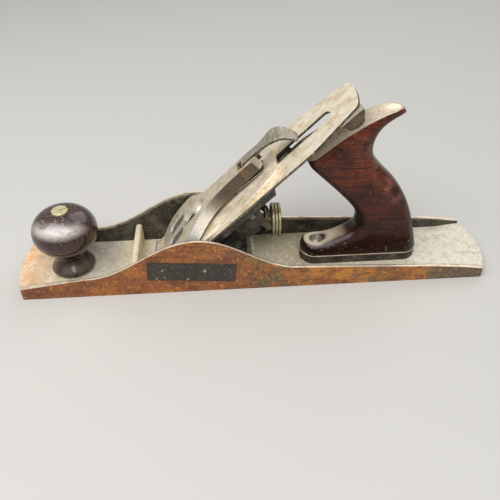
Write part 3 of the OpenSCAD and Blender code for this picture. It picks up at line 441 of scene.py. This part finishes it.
# Recesses of the lever cap, dark with old dirt
capHollow = {
    "base": "#5f5a4e",
    "layers": [
        {"hex": "#45423a", "sizeMm": 2.4, "range": (0.45, 0.6), "amount": 0.85},
        {"hex": "#8d8878", "sizeMm": 1.2, "range": (0.6, 0.7), "amount": 0.8}],
    "gloss": {"rough": 0.7, "metallic": 0.2},
    "relief": [{"sizeMm": 1.1, "range": (0.3, 0.7), "deepMm": 0.1}]}

# Steel rubbed bright: arrises of screws, yoke, spring and lateral lever, and the curl of its thumb tab
rubbedSteel = {
    "base": "#d9d2c4",
    "layers": [
        {"hex": "#a89b85", "sizeMm": 2.5, "range": (0.48, 0.64), "amount": 0.7},
        {"hex": "#f4eee2", "sizeMm": 1, "range": (0.58, 0.68), "amount": 0.7}],
    "gloss": {"rough": 0.35, "metallic": 0.65}}

# Cam lever casting: grey with fine dark lines across its thumb pad, with painted shade underneath and on the
# near side
camCasting = {
    "base": "#9c9484",
    "layers": [
        # painted shade: the underside and the near side darkened
        {"hex": "#3a332b", "facing": (0.7, 0, -0.7), "turned": (-0.25, 0.2), "amount": 0.92, "sizeMm": 6,
         "range": (0.05, 0.2), "roughHere": 0.6},
        {"hex": "#3a332b", "facing": toNearSide, "turned": (0.6, 0.85), "amount": 0.85, "sizeMm": 6,
         "range": (0.05, 0.2), "roughHere": 0.6},
        {"hex": "#7b7466", "sizeMm": 3, "range": (0.45, 0.62), "stretch": (1, 5, 1), "amount": 0.8},
        {"hex": "#c9c2b3", "sizeMm": 1.4, "range": (0.56, 0.68), "stretch": (1, 3, 1), "amount": 0.75},
        {"hex": "#4b443a", "sizeMm": 0.9, "range": (0.63, 0.71), "stretch": (1, 3, 1), "amount": 0.8}],
    "gloss": {"rough": 0.42, "metallic": 0.55,
              "roughPatch": {"sizeMm": 2, "range": (0.45, 0.6), "roughHere": 0.6}},
    "relief": [{"sizeMm": 0.9, "range": (0.3, 0.7), "stretch": (1, 4, 1), "deepMm": 0.05}]}

# Yellow brass gone olive with tarnish
dullBrass = {
    "base": "#6f674b",
    "layers": [
        {"hex": "#5f583e", "sizeMm": 4, "range": (0.45, 0.62), "amount": 0.8},
        {"hex": "#a1966c", "sizeMm": 1.8, "range": (0.56, 0.68), "amount": 0.7},
        {"hex": "#3a3423", "sizeMm": 0.8, "range": (0.62, 0.71), "amount": 0.8}],
    "gloss": {"rough": 0.48, "metallic": 0.55,
              "roughPatch": {"sizeMm": 2, "range": (0.45, 0.6), "roughHere": 0.62}},
    "relief": [{"sizeMm": 0.5, "range": (0.35, 0.7), "deepMm": 0.02}]}

# Brass where it is rubbed bright: rims of the depth nut, edges of the tote nut
rubbedBrass = {
    "base": "#b3a987",
    "layers": [{"hex": "#857a55", "sizeMm": 1.8, "range": (0.46, 0.62), "amount": 0.8}],
    "gloss": {"rough": 0.42, "metallic": 0.55}}

# The knob's nut, pale from rubbing, with dark specks
paleBrass = {
    "base": "#ddd2ab",
    "layers": [
        {"hex": "#b5a572", "sizeMm": 2.2, "range": (0.5, 0.66), "amount": 0.7},
        {"hex": "#5f5335", "sizeMm": 0.8, "range": (0.62, 0.7), "amount": 0.8}],
    "gloss": {"rough": 0.42, "metallic": 0.6},
    "relief": [{"sizeMm": 0.6, "range": (0.35, 0.7), "deepMm": 0.03}]}

# Turned mild steel of rods, pins and screws, dull grey brown
dullSteel = {
    "base": "#8b8477",
    "layers": [
        {"hex": "#5d554a", "sizeMm": 2.5, "range": (0.46, 0.62), "amount": 0.8},
        {"hex": "#b9b1a1", "sizeMm": 1.1, "range": (0.58, 0.68), "amount": 0.7},
        {"hex": "#7c5230", "sizeMm": 1.8, "range": (0.64, 0.72), "amount": 0.7}],
    "gloss": {"rough": 0.45, "metallic": 0.7},
    "relief": [{"sizeMm": 0.5, "range": (0.35, 0.7), "deepMm": 0.02}]}

# Pressed and forged steel of lateral lever and yoke, browned all over
brownedSteel = {
    "base": "#73664e",
    "layers": [
        {"hex": "#3a2f21", "sizeMm": 9, "range": (0.42, 0.58), "amount": 0.8},
        {"hex": "#877455", "sizeMm": 1.8, "range": (0.56, 0.68), "amount": 0.7},
        {"hex": "#2d241a", "sizeMm": 0.9, "range": (0.64, 0.72), "amount": 0.7}],
    "gloss": {"rough": 0.5, "metallic": 0.5},
    "relief": [{"sizeMm": 0.7, "range": (0.35, 0.7), "deepMm": 0.03}]}

finishes = {"rustedGroundIron": rustedGroundIron, "rubbedRim": rubbedRim, "groundSole": groundSole,
            "dustyFloor": dustyFloor, "blackJapanning": blackJapanning, "labelVinyl": labelVinyl,
            "knobRosewood": knobRosewood, "toteRosewood": toteRosewood, "bladeSteel": bladeSteel,
            "darkEdgeSteel": darkEdgeSteel, "capCasting": capCasting, "capHollow": capHollow,
            "rubbedSteel": rubbedSteel, "camCasting": camCasting, "dullBrass": dullBrass,
            "rubbedBrass": rubbedBrass, "paleBrass": paleBrass, "dullSteel": dullSteel,
            "brownedSteel": brownedSteel}
finishOf = {name: makeFinish(name, spec) for name, spec in finishes.items()}
print("finishes made:", len(finishOf))


def newPiece(name, bm, body, finishNames):
    mesh = bpy.data.meshes.new(name)
    bm.to_mesh(mesh)
    bm.free()
    piece = bpy.data.objects.new(name, mesh)
    bpy.context.collection.objects.link(piece)
    for finishName in finishNames:
        mesh.materials.append(finishOf[finishName])
    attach(piece, body)
    return piece


# How pieces are merged, shaded, worn and eased, unless a piece has its own value
meshing = {"weldMm": 0.002, "seamMm": 0.01, "flatDegrees": 0.5, "sharpDegrees": 35, "wornSteps": 2,
           "easeFactor": 0.6}


def smoothByAngle(piece, degrees):
    mesh = piece.data
    mesh.polygons.foreach_set("use_smooth", [True] * len(mesh.polygons))
    mesh.set_sharp_from_angle(angle=radians(degrees))


def mergedNode(nodeName, flatten=True):
    # the CAD node's own shape as one welded mesh
    bm = bmesh.new()
    bm.from_mesh(nodeOf[nodeName].data)
    bmesh.ops.remove_doubles(bm, verts=bm.verts, dist=meshing["weldMm"] * mm)
    if flatten:
        flatAngle = radians(meshing["flatDegrees"])
        bmesh.ops.dissolve_limit(bm, angle_limit=flatAngle, verts=bm.verts, edges=bm.edges)
    for face in bm.faces:
        face.material_index = 0
    return bm


def turned(outline, centre, axis, turns):
    # a closed outline spun once about an axis
    bm = bmesh.new()
    points = [bm.verts.new(place) for place in outline]
    edges = [bm.edges.new(pair) for pair in zip(points, points[1:] + points[:1])]
    bmesh.ops.spin(bm, geom=points + edges, cent=centre, axis=axis, angle=2 * pi, steps=turns, use_merge=True,
                   use_duplicate=False)
    bmesh.ops.remove_doubles(bm, verts=bm.verts, dist=meshing["seamMm"] * mm)
    bmesh.ops.recalc_face_normals(bm, faces=bm.faces)
    return bm


def wearEdges(piece, worn):
    # rounds the sharp edges, in the finish of the slot that "edgeSlot" numbers
    bevel = piece.modifiers.new("worn edges", "BEVEL")
    bevel.width = worn["bevelMm"] * mm
    bevel.segments = worn.get("steps", meshing["wornSteps"])
    bevel.limit_method = "ANGLE"
    bevel.angle_limit = radians(worn.get("angle", meshing["sharpDegrees"]))
    bevel.material = worn.get("edgeSlot", -1)


# Pieces that keep the CAD shape and get worn edges. "turned" is how squarely a face looks out of the iron's
# slope, from 0 to 1.
wornPieces = {
    "iron": {"finishes": ["bladeSteel", "darkEdgeSteel"], "bevelMm": 0.22, "darkSides": {"turned": 0.6}},
    "cap_iron": {"finishes": ["bladeSteel"], "bevelMm": 0.3},
    "cap_iron_screw": {"finishes": ["dullSteel"], "bevelMm": 0.2},
    "knob_nut": {"finishes": ["paleBrass"], "bevelMm": 0.25},
    "tote_nut": {"finishes": ["dullBrass", "rubbedBrass"], "bevelMm": 0.25, "edgeSlot": 1},
    "tote_toe_screw": {"finishes": ["dullSteel", "rubbedSteel"], "bevelMm": 0.25, "edgeSlot": 1},
    "frog_screws": {"finishes": ["dullSteel"], "bevelMm": 0.2},
    "frog_washers": {"finishes": ["dullSteel"], "bevelMm": 0.15},
    "frog": {"finishes": ["blackJapanning"], "bevelMm": 0.6},
    "yoke": {"finishes": ["brownedSteel", "rubbedSteel"], "bevelMm": 0.3, "edgeSlot": 1},
    "lever_cap_screw": {"finishes": ["capCasting"], "bevelMm": 0.3},
    "lever_cap": {"finishes": ["capCasting", "capHollow"], "bevelMm": 0.7, "steps": 3, "angle": 40,
                  "edgeSlot": 0,
                  "hollows": {"besideMm": 7.8, "alongMm": (25, 45.5), "halfMm": 5.6, "turned": 0.3}},
    "cap_spring": {"finishes": ["dullSteel", "rubbedSteel"], "bevelMm": 0.2, "edgeSlot": 1},
    "lateral_lever": {"finishes": ["brownedSteel", "rubbedSteel"], "bevelMm": 0.35, "edgeSlot": 1,
                      "brightCurl": {"alongMm": (175, 196), "fromFoldMm": 3.4}},
    "lateral_roller": {"finishes": ["dullSteel"], "bevelMm": 0.2},
    "depth_stud": {"finishes": ["dullSteel"], "bevelMm": 0.3},
    "depth_sleeve": {"finishes": ["dullBrass"], "bevelMm": 0.2},
    "label_tape": {"finishes": ["labelVinyl"], "bevelMm": 0.08}}


def findSides(bm, sides):
    # the iron's edges
    return [face for face in bm.faces if abs(face.normal.dot(slopeOut)) < sides["turned"]]


def findCurl(bm, curl):
    # the thumb tab's curled end, near its fold
    start, end = curl["alongMm"]
    places = [(face, slopePlace(face.calc_center_median())) for face in bm.faces]
    tab = [(face, out) for face, (up, out) in places if start < up < end]
    foldTop = max(out for face, out in tab)
    return [face for face, out in tab if out > foldTop - curl["fromFoldMm"]]


def findHollows(bm, hollows):
    # the recesses on both sides of the lever cap's keyhole
    start, end = hollows["alongMm"]
    found = []
    for face in bm.faces:
        middle = face.calc_center_median()
        beside = abs(abs(middle.y) / mm - hollows["besideMm"]) < hollows["halfMm"]
        if beside and start < slopePlace(middle)[0] < end and face.normal.dot(slopeOut) > hollows["turned"]:
            found.append(face)
    return found


def makeWornPiece(nodeName, worn):
    bm = mergedNode(nodeName)
    for key, find in (("darkSides", findSides), ("brightCurl", findCurl), ("hollows", findHollows)):
        if key in worn:
            for face in find(bm, worn[key]):
                face.material_index = 1
    piece = newPiece(nodeName + "_worn", bm, bodyOf[nodeName], worn["finishes"])
    smoothByAngle(piece, meshing["sharpDegrees"])
    wearEdges(piece, worn)
    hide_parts(nodeName)


for nodeName, worn in wornPieces.items():
    makeWornPiece(nodeName, worn)
print("worn pieces made:", len(wornPieces))

# Hidden rods and pins keep their CAD shape
plainNodes = {"knob_rod": "dullSteel", "tote_rod": "dullSteel", "yoke_pin": "dullSteel",
              "lateral_rivet": "dullSteel", "spring_rivet": "dullSteel", "cam_pin": "capCasting"}
for nodeName, finishName in plainNodes.items():
    nodeOf[nodeName].data.materials.clear()
    nodeOf[nodeName].data.materials.append(finishOf[finishName])

# Bed: each surface gets the finish it has, then the edges are worn. "flat", "upright" and "rimTurned" are parts
# of a face's normal.
bedShape = {"finishes": ["dustyFloor", "rustedGroundIron", "rubbedRim", "blackJapanning", "groundSole"],
            "flat": 0.9, "upright": 0.3, "rimTurned": 0.5, "wallMm": 3.72, "floorMm": 3.5, "endsMm": 9,
            "besideToteMm": 1, "rimOverFloorMm": 0.2, "soleSlackMm": 0.1, "slackMm": 0.05,
            "bevelMm": 0.4, "smoothDegrees": 30, "platformEdgeMm": 0.45, "platformSteps": 2,
            "ribTopMm": (12, 25), "ribLeastMm": 30, "ribRoundMm": 2, "ribSteps": 4,
            "innerRoundMm": 2, "innerSteps": 4, "innerFromMm": 6, "roundFadesMm": (130, 172), "leastRound": 0.1}


def bedFaceFinish(face, shape):
    # what the bed's surface is at a face, from its place and the way it looks
    middle = face.calc_center_median()
    side = abs(middle.y)
    floor = shape["floorMm"] * mm
    inWall = side > bedHigh.y - shape["wallMm"] * mm
    isUpright = abs(face.normal.z) < shape["upright"]
    if face.normal.z < -shape["flat"] and middle.z < shape["soleSlackMm"] * mm:
        return "groundSole"
    if abs(face.normal.y) > shape["flat"] and side > bedHigh.y - shape["slackMm"] * mm:
        return "rustedGroundIron"
    if abs(middle.x) > bedHigh.x - shape["endsMm"] * mm and isUpright:
        return "rustedGroundIron"
    if inWall and face.normal.z > shape["rimTurned"] and middle.z > floor + shape["rimOverFloorMm"] * mm:
        return "rubbedRim"
    if inWall and abs(face.normal.y) > shape["flat"]:
        return "blackJapanning"
    slack = shape["besideToteMm"] * mm
    byTote = toteLow.x - slack < middle.x < toteHigh.x + slack and side < toteHigh.y + slack
    if byTote and isUpright and floor < middle.z < toteLow.z:
        return "blackJapanning"
    return "dustyFloor"


def isBorder(edge, shape, *names):
    # whether an edge has one of two finishes on each side
    indices = sorted(shape["finishes"].index(name) for name in names)
    return sorted(face.material_index for face in edge.link_faces) == indices


def markInnerRims(bm, shape):
    # how round the walls' inner top edges are, fading out where the walls run down to the ends
    weight = bm.edges.layers.float.get("bevel_weight_edge") or bm.edges.layers.float.new("bevel_weight_edge")
    start, end = shape["roundFadesMm"]
    for edge in bm.edges:
        isHigh = edge.verts[0].co.z > shape["innerFromMm"] * mm
        if isHigh and isBorder(edge, shape, "rubbedRim", "blackJapanning"):
            reach = max(abs(v.co.x) for v in edge.verts) / mm
            edge[weight] = min(1, max(shape["leastRound"], (end - reach) / (end - start)))


def roundEdges(bm, edges, roundMm, steps, finishIndex=-1):
    bmesh.ops.bevel(bm, geom=edges, offset=roundMm * mm, offset_type="OFFSET", segments=steps, profile=0.5,
                    affect="EDGES", clamp_overlap=False, material=finishIndex)


def makeBed(shape):
    bm = mergedNode("bed_casting")
    for face in bm.faces:
        face.material_index = shape["finishes"].index(bedFaceFinish(face, shape))
    markInnerRims(bm, shape)
    platform = [e for e in bm.edges if all(abs(v.co.z - toteLow.z) < shape["slackMm"] * mm for v in e.verts)
                and isBorder(e, shape, "dustyFloor", "blackJapanning")]
    paleEdge = shape["finishes"].index("rubbedRim")
    roundEdges(bm, platform, shape["platformEdgeMm"], shape["platformSteps"], paleEdge)
    lowest, highest = shape["ribTopMm"]
    ribTop = [e for e in bm.edges if abs(e.verts[0].co.y - e.verts[1].co.y) > shape["ribLeastMm"] * mm
              and all(v.co.x < edgeX and lowest * mm < v.co.z < highest * mm for v in e.verts)]
    roundEdges(bm, ribTop, shape["ribRoundMm"], shape["ribSteps"])
    piece = newPiece("bed_worn", bm, "bed", shape["finishes"])
    smoothByAngle(piece, shape["smoothDegrees"])
    rims = piece.modifiers.new("rounded inner rims", "BEVEL")
    rims.width = shape["innerRoundMm"] * mm
    rims.segments = shape["innerSteps"]
    rims.limit_method = "WEIGHT"
    rims.material = shape["finishes"].index("blackJapanning")
    rims.use_clamp_overlap = False
    wearEdges(piece, shape)
    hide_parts("bed_casting")
    print("bed edges rounded: platform", len(platform), "rib", len(ribTop))


makeBed(bedShape)

# Knob: a turned profile spun about its axis, in mm. "foot" has radius and height over the knob's base,
# "nutSeat" what is added to the nut's radius and how far under the top that is.
knobShape = {
    "foot": [(4.5, 0), (15.4, 0), (16.2, 0.8), (16.2, 1.9), (15.6, 3), (14.2, 5), (12.2, 7.2), (10.6, 9.3),
             (9.5, 11.2), (9.2, 12.9)],
    "ballHalfHeight": 17.6, "squareness": 0.85, "neckAngle": -57, "angleStep": 5,
    "nutRadius": 6.0, "nutRim": 0.8, "nutSeat": [(0.5, 0.35), (0, 0.6), (0, 1.2), (-1.5, 1.2)],
    "turns": 96, "smoothDegrees": 50}


def makeKnob(shape):
    low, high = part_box("front_knob")
    centreX = (low.x + high.x) / 2
    topZ = high.z / mm
    ballRadius = (high.x - low.x) / 2 / mm
    ballZ = topZ - shape["ballHalfHeight"]
    outline = [(r, low.z / mm + z) for r, z in shape["foot"]]
    for angle in range(shape["neckAngle"], 90, shape["angleStep"]):
        r = ballRadius * cos(radians(angle)) ** shape["squareness"]
        if angle > 0 and r < shape["nutRadius"] + shape["nutRim"]:
            break
        outline.append((r, ballZ + shape["ballHalfHeight"] * sin(radians(angle))))
    outline += [(shape["nutRadius"] + wider, topZ - deep) for wider, deep in shape["nutSeat"]]
    bm = turned([(centreX + r * mm, 0, z * mm) for r, z in outline], (centreX, 0, 0), upward, shape["turns"])
    piece = newPiece("front_knob_turned", bm, "bed", ["knobRosewood"])
    smoothByAngle(piece, shape["smoothDegrees"])
    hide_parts("front_knob")


makeKnob(knobShape)
print("knob turned")


def carved(nodeName, name, shape):
    # a solid remesh of the CAD shape, ready to be eased
    bm = mergedNode(nodeName, flatten=False)
    piece = newPiece(name, bm, bodyOf[nodeName], shape["finishes"])
    remesh = piece.modifiers.new("carve", "REMESH")
    remesh.mode = "VOXEL"
    remesh.voxel_size = shape["voxelMm"] * mm
    bpy.context.view_layer.update()
    done = bpy.data.meshes.new_from_object(piece.evaluated_get(bpy.context.evaluated_depsgraph_get()))
    piece.modifiers.clear()
    piece.data = done
    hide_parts(nodeName)
    return piece


def eased(piece, passes, isFree):
    # smooths the points that are free to move
    bm = bmesh.new()
    bm.from_mesh(piece.data)
    bm.normal_update()
    free = [v for v in bm.verts if isFree(v.co, v.normal)]
    for _ in range(passes):
        bmesh.ops.smooth_vert(bm, verts=free, factor=meshing["easeFactor"], use_axis_x=True, use_axis_y=True,
                              use_axis_z=True)
    bm.to_mesh(piece.data)
    bm.free()
    piece.data.polygons.foreach_set("use_smooth", [True] * len(piece.data.polygons))


# Tote: carved from the CAD shape, its steps eased into the rounded grip, its foot and top kept firm
toteShape = {"finishes": ["toteRosewood"], "voxelMm": 0.85, "passes": 34, "lastPasses": 2, "firmMm": 4,
             "topFacing": (-0.5, 0, 0.86), "topTurned": 0.55, "topFromMm": 84}


def makeTote(shape):
    topFacing = Vector(shape["topFacing"])
    piece = carved("tote", "tote_carved", shape)

    def overFoot(place, normal):
        return place.z - toteLow.z > shape["firmMm"] * mm

    def underTop(place, normal):
        isTop = normal.dot(topFacing) > shape["topTurned"] and place.z > shape["topFromMm"] * mm
        return overFoot(place, normal) and not isTop

    eased(piece, shape["passes"], underTop)
    eased(piece, shape["lastPasses"], overFoot)


makeTote(toteShape)
print("tote carved")

# Cam lever: carved too, with a shallow scoop in its thumb pad
camShape = {"finishes": ["camCasting"], "voxelMm": 0.4, "passes": 6, "freeFromMm": 122, "scoopMiddleMm": 138,
            "scoopHalfMm": (9, 6.2), "scoopDeepMm": 0.9, "scoopTurned": 0.4, "scoopPower": 1.2}


def makeCamLever(shape):
    piece = carved("cam_lever", "cam_lever_carved", shape)
    eased(piece, shape["passes"], lambda place, normal: slopePlace(place)[0] > shape["freeFromMm"])
    halfLong, halfWide = shape["scoopHalfMm"]
    for vertex, normal in zip(piece.data.vertices, piece.data.vertex_normals):
        up = slopePlace(vertex.co)[0]
        spread = ((up - shape["scoopMiddleMm"]) / halfLong) ** 2 + (vertex.co.y / mm / halfWide) ** 2
        if spread < 1 and normal.vector.dot(slopeOut) > shape["scoopTurned"]:
            vertex.co -= slopeOut * shape["scoopDeepMm"] * mm * (1 - spread) ** shape["scoopPower"]


makeCamLever(camShape)
print("cam lever carved")

# Depth nut: flange, groove and a wheel with three rims, turned about its axis. "rimProfile" has the share of a
# rim's width and how deep under the wheel's radius it is, in mm.
nutShape = {"flangeMm": (8.8, 1.6), "grooveMm": (5.8, 3.0), "easeMm": 0.3, "boreGapMm": 0.06, "rims": 3,
            "rimProfile": [(0.02, 1), (0.14, 0.9), (0.2, 0.25), (0.32, 0), (0.68, 0), (0.8, 0.25), (0.86, 0.9),
                           (0.98, 1)],
            "endFaceMm": 2.2, "brightMm": 0.15, "turns": 96}


def makeDepthNut(shape):
    low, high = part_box("depth_nut")
    axisZ = (low.z + high.z) / 2
    wheelRadius = (high.z - low.z) / 2 / mm
    length = (high.x - low.x) / mm
    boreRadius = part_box("depth_sleeve")[1].y / mm + shape["boreGapMm"]
    flangeRadius, flangeLength = shape["flangeMm"]
    grooveRadius, grooveLength = shape["grooveMm"]
    wheelStart = flangeLength + grooveLength
    pitch = (length - wheelStart) / shape["rims"]
    ease = shape["easeMm"]
    outline = [(boreRadius, 0), (flangeRadius - ease, 0), (flangeRadius, ease),
               (flangeRadius, flangeLength - ease), (flangeRadius - ease, flangeLength),
               (grooveRadius, flangeLength), (grooveRadius, wheelStart)]
    for i in range(shape["rims"]):
        for share, deep in shape["rimProfile"]:
            outline.append((wheelRadius - deep, wheelStart + (i + share) * pitch))
    outline += [(wheelRadius - shape["endFaceMm"], length), (boreRadius, length)]
    bm = turned([(low.x + x * mm, 0, axisZ + r * mm) for r, x in outline], (low.x, 0, axisZ), toHeel,
                shape["turns"])
    for face in bm.faces:
        middle = face.calc_center_median()
        reach = sqrt(middle.y ** 2 + (middle.z - axisZ) ** 2)
        face.material_index = 1 if reach > (wheelRadius - shape["brightMm"]) * mm else 0
    piece = newPiece("depth_nut_turned", bm, "depth_wheel", ["dullBrass", "rubbedBrass"])
    smoothByAngle(piece, meshing["sharpDegrees"])
    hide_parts("depth_nut")


makeDepthNut(nutShape)
print("depth nut turned")

# Floor, lamps and sky, in metres and watts
studio = {"floorHex": "#b6b4af", "floorHalf": 3.0, "floorRough": 0.9, "floorGapMm": 0.2,
          "skyHex": "#ffffff", "skyStrength": 0.33,
          "lamps": [{"place": (-0.35, -0.5, 1.1), "size": (1.7, 1.0), "power": 25},
                    {"place": (0.5, 0.75, 0.95), "size": (1.0, 1.0), "power": 5}]}


def makeFloor(values):
    bm = bmesh.new()
    bmesh.ops.create_grid(bm, x_segments=1, y_segments=1, size=values["floorHalf"])
    mesh = bpy.data.meshes.new("floor")
    bm.to_mesh(mesh)
    bm.free()
    floor = bpy.data.objects.new("floor", mesh)
    bpy.context.collection.objects.link(floor)
    paper = bpy.data.materials.new("matt paper")
    paper.use_nodes = True
    shader = paper.node_tree.nodes["Principled BSDF"]
    shader.inputs["Base Color"].default_value = linear(values["floorHex"])
    shader.inputs["Roughness"].default_value = values["floorRough"]
    mesh.materials.append(paper)
    floor.location.z = min(0, cadBox[0][2]) - values["floorGapMm"] * mm


def makeLight(values):
    world = bpy.data.worlds.new("soft sky")
    world.use_nodes = True
    sky = world.node_tree.nodes["Background"]
    sky.inputs["Color"].default_value = linear(values["skyHex"])
    sky.inputs["Strength"].default_value = values["skyStrength"]
    bpy.context.scene.world = world
    for i, lamp in enumerate(values["lamps"]):
        data = bpy.data.lights.new("lamp%d" % i, "AREA")
        data.energy = lamp["power"]
        data.shape = "RECTANGLE"
        data.size, data.size_y = lamp["size"]
        light = bpy.data.objects.new("lamp%d" % i, data)
        light.location = lamp["place"]
        light.rotation_euler = (-Vector(lamp["place"])).to_track_quat("-Z", "Y").to_euler()
        bpy.context.collection.objects.link(light)


makeFloor(studio)
makeLight(studio)
bpy.context.scene.view_settings.view_transform = "Standard"
print("studio made")
